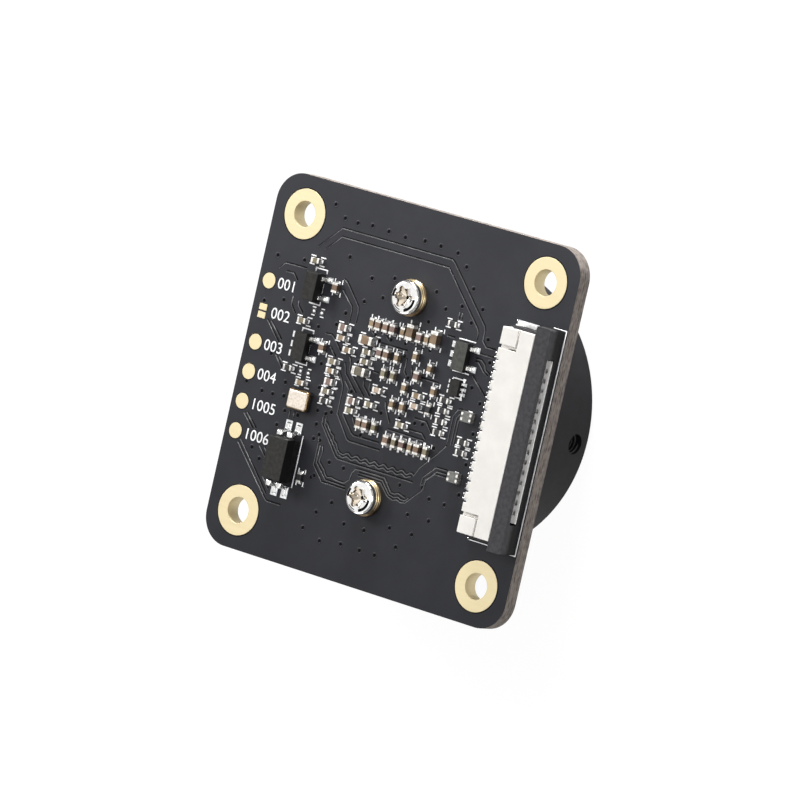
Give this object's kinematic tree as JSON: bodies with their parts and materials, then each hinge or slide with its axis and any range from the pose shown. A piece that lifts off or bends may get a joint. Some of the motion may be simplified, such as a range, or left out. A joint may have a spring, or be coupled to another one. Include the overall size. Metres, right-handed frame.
{
  "type": "board camera module",
  "caption": "Square board camera module: black round lens mount below, flat-cable connector with a sliding black latch, gold-ringed mounting holes and small chips on top.",
  "frame": {"origin": "centre of the lens mount's front rim, on the optical axis", "axes": "+Z from the lens side to the component side, +X towards the flat-cable connector, +Y along it"},
  "size_m": [0.0378, 0.0378, 0.0166],
  "materials": {
    "board_mask": "satin",
    "gold_plating": "polished",
    "mount_black": "satin",
    "filter_glass": "polished",
    "sensor_ceramic": "matte",
    "sensor_silicon": "polished",
    "cover_glass": "polished",
    "screw_nickel": "polished",
    "washer_gold": "polished",
    "connector_ivory": "satin",
    "slider_black": "satin",
    "contact_metal": "satin",
    "tin_metal": "satin",
    "solder": "satin",
    "ic_black": "matte",
    "oscillator_ceramic": "matte",
    "oscillator_lid": "satin",
    "ferrite_grey": "matte",
    "ceramic_tan": "satin",
    "ceramic_brown": "satin",
    "ceramic_maroon": "satin",
    "ceramic_olive": "satin",
    "ceramic_peach": "satin",
    "resistor_black": "satin",
    "chip_ends": "satin"
  },
  "bodies": {
    "module": {"circuit_board": "board_mask", "mounting_hole_rims": "gold_plating", "test_pads_round": "gold_plating", "test_pads_square": "gold_plating", "lens_mount": "mount_black", "filter_glass": "filter_glass", "sensor_package": "sensor_ceramic", "sensor_die": "sensor_silicon", "sensor_cover_glass": "cover_glass", "screw_washers": "washer_gold", "mount_screws": "screw_nickel", "ffc_housing": "connector_ivory", "ffc_contacts": "contact_metal", "ffc_hold_downs": "tin_metal", "ffc_solder_pads": "solder", "ic_solder_pads": "solder", "five_pin_ic_a_body": "ic_black", "five_pin_ic_a_leads": "tin_metal", "five_pin_ic_b_body": "ic_black", "five_pin_ic_b_leads": "tin_metal", "five_pin_ic_c_body": "ic_black", "five_pin_ic_c_leads": "tin_metal", "six_pin_ic_body": "ic_black", "six_pin_ic_leads": "tin_metal", "optocoupler_body": "ic_black", "optocoupler_leads": "tin_metal", "oscillator_base": "oscillator_ceramic", "oscillator_lid": "oscillator_lid", "line_filter_cores": "ferrite_grey", "line_filter_terminals": "chip_ends", "capacitors_tan": "ceramic_tan", "capacitors_tan_ends": "chip_ends", "capacitors_brown": "ceramic_brown", "capacitors_brown_ends": "chip_ends", "capacitors_maroon": "ceramic_maroon", "capacitors_maroon_ends": "chip_ends", "capacitors_olive": "ceramic_olive", "capacitors_olive_ends": "chip_ends", "capacitors_peach": "ceramic_peach", "capacitors_peach_ends": "chip_ends", "capacitors_large": "ceramic_brown", "capacitors_large_ends": "chip_ends", "resistor_body": "resistor_black", "resistor_ends": "chip_ends", "bare_chip_pads": "solder"},
    "slider": {"ffc_slider": "slider_black"}
  },
  "joints": [
    {"name": "slider_slide", "type": "slide", "parent": "module", "child": "slider", "axis": [1, 0, 0], "range_m": [0, 0.0013]}
  ]
}
